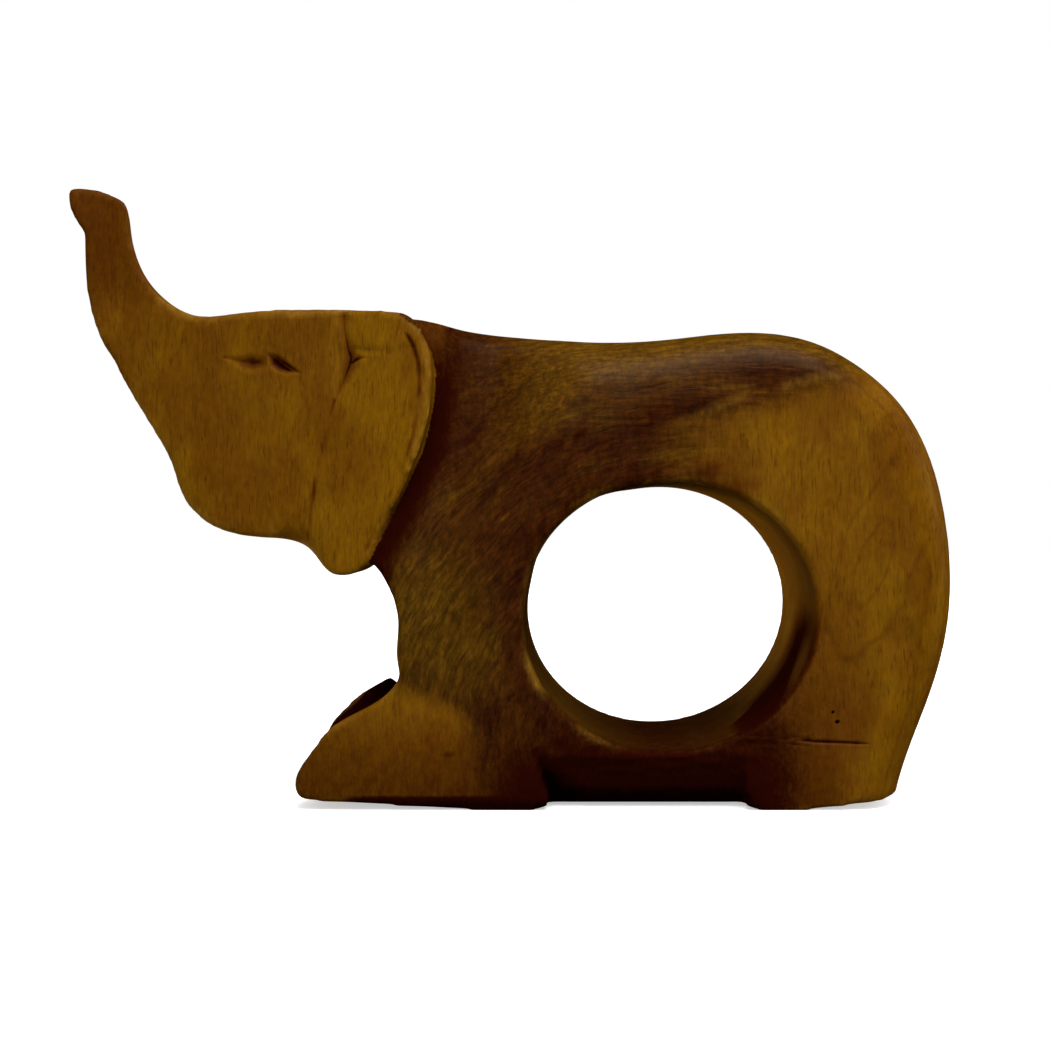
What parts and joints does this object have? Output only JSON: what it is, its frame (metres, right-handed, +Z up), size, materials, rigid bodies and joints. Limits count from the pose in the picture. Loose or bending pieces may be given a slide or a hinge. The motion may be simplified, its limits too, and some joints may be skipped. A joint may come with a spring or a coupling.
{
  "type": "carved wooden elephant napkin ring",
  "caption": "Elephant figurine carved from a block of wood, trunk raised, with an oval napkin hole through its belly, standing on flat feet.",
  "frame": {"origin": "middle of the footprint on the ground plane, under the middle of the bounding box", "axes": "+Z up, +X from the trunk to the rump, so the elephant faces -X; +Y across the body, to the elephant's left or right alike"},
  "size_m": [0.1038, 0.029, 0.0724],
  "materials": {
    "wood": "hand-rubbed satin wax over a golden-brown stain, darker in the hollows"
  },
  "bodies": {
    "root": {"carved_elephant": "wood"}
  },
  "joints": []
}
